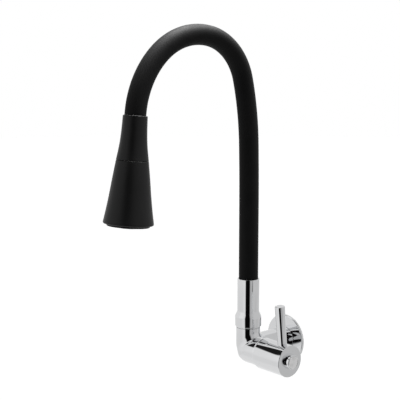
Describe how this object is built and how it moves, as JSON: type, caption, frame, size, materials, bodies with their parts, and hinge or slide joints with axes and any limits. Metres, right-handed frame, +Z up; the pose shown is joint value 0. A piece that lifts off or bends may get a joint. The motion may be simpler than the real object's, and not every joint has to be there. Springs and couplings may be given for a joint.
{
  "type": "wall-mounted kitchen tap",
  "caption": "Wall-mounted kitchen tap: chrome elbow body with a side handle and wall flange, and a bendable black hose spout with a conical twist-jet spray head.",
  "frame": {"origin": "centre of the flange's wall face, on the axis of the threaded inlet", "axes": "+Y into the wall along the inlet, +X along the handle, +Z up the riser"},
  "size_m": [0.0959, 0.2592, 0.3752],
  "materials": {
    "chrome": "polished",
    "black_silicone": "matte",
    "black_plastic": "matte",
    "nozzle_rubber": "matte",
    "brass": "satin",
    "steel": "satin",
    "seal_rubber": "satin",
    "ceramic": "gloss",
    "white_plastic": "satin",
    "grey_plastic": "satin"
  },
  "bodies": {
    "valve": {"wall_flange": "chrome", "flange_gasket": "seal_rubber", "valve_body": "chrome", "inlet_filter": "steel", "seat_seal": "seal_rubber", "fixed_disc": "ceramic", "headwork_body": "brass", "headwork_gasket": "white_plastic"},
    "handle": {"moving_disc": "ceramic", "spindle": "brass", "spindle_rings": "seal_rubber", "spindle_clip": "steel", "handle_sleeve": "chrome", "handle_lever": "chrome", "handle_screw": "steel", "index_button": "chrome"},
    "riser": {"slip_washer": "white_plastic", "swivel_spigot": "brass", "spigot_rings": "seal_rubber", "spigot_clip": "white_plastic", "swivel_collar": "chrome", "hose_ferrule": "steel", "hose_sleeve_1": "black_silicone", "hose_coil_1": "steel", "water_tube_1": "white_plastic"},
    "hose_2": {"hose_sleeve_2": "black_silicone", "hose_coil_2": "steel", "water_tube_2": "white_plastic"},
    "hose_3": {"hose_sleeve_3": "black_silicone", "hose_coil_3": "steel", "water_tube_3": "white_plastic"},
    "hose_4": {"hose_sleeve_4": "black_silicone", "hose_coil_4": "steel", "water_tube_4": "white_plastic"},
    "hose_5": {"hose_sleeve_5": "black_silicone", "hose_coil_5": "steel", "water_tube_5": "white_plastic"},
    "head": {"hose_sleeve_6": "black_silicone", "hose_coil_6": "steel", "water_tube_6": "white_plastic", "head_ferrule": "brass", "head_collar": "black_plastic", "head_core": "white_plastic", "core_washer": "seal_rubber", "port_seal": "seal_rubber", "pivot_screw": "steel"},
    "selector": {"selector_drum": "white_plastic", "head_cone": "black_plastic", "spray_face": "black_plastic", "nozzle_mat": "nozzle_rubber", "aerator_body": "grey_plastic", "aerator_grid": "white_plastic"}
  },
  "joints": [
    {"name": "handle_turn", "type": "hinge", "parent": "valve", "child": "handle", "pos_m": [0.045, -0.0603, 0], "axis": [1, 0, 0], "range_deg": [0, 90]},
    {"name": "spout_swivel", "type": "hinge", "parent": "valve", "child": "riser", "pos_m": [0, -0.0603, 0.025], "axis": [0, 0, 1], "range_deg": [-90, 90]},
    {"name": "hose_bend_1", "type": "hinge", "parent": "riser", "child": "hose_2", "pos_m": [0, -0.0603, 0.1569], "axis": [1, 0, 0], "range_deg": [-7.2, 3.2]},
    {"name": "hose_bend_2", "type": "hinge", "parent": "hose_2", "child": "hose_3", "pos_m": [0, -0.06125, 0.22499], "axis": [1, 0, 0], "range_deg": [-7.2, 3.2]},
    {"name": "hose_bend_3", "type": "hinge", "parent": "hose_3", "child": "hose_4", "pos_m": [0, -0.07036, 0.29235], "axis": [1, 0, 0], "range_deg": [-18, 8]},
    {"name": "hose_bend_4", "type": "hinge", "parent": "hose_4", "child": "hose_5", "pos_m": [0, -0.11736, 0.33633], "axis": [1, 0, 0], "range_deg": [-18, 8]},
    {"name": "hose_bend_5", "type": "hinge", "parent": "hose_5", "child": "head", "pos_m": [0, -0.18079, 0.31862], "axis": [1, 0, 0], "range_deg": [-18, 8]},
    {"name": "jet_selector", "type": "hinge", "parent": "head", "child": "selector", "pos_m": [0, -0.21102, 0.25942], "axis": [0, -0.0924, -0.9957], "range_deg": [0, 90]}
  ],
  "couplings": [
    {"joint": "hose_bend_1", "follows": "hose_bend_3", "ratio": 0.4},
    {"joint": "hose_bend_2", "follows": "hose_bend_3", "ratio": 0.4},
    {"joint": "hose_bend_4", "follows": "hose_bend_3", "ratio": 1},
    {"joint": "hose_bend_5", "follows": "hose_bend_3", "ratio": 1}
  ]
}
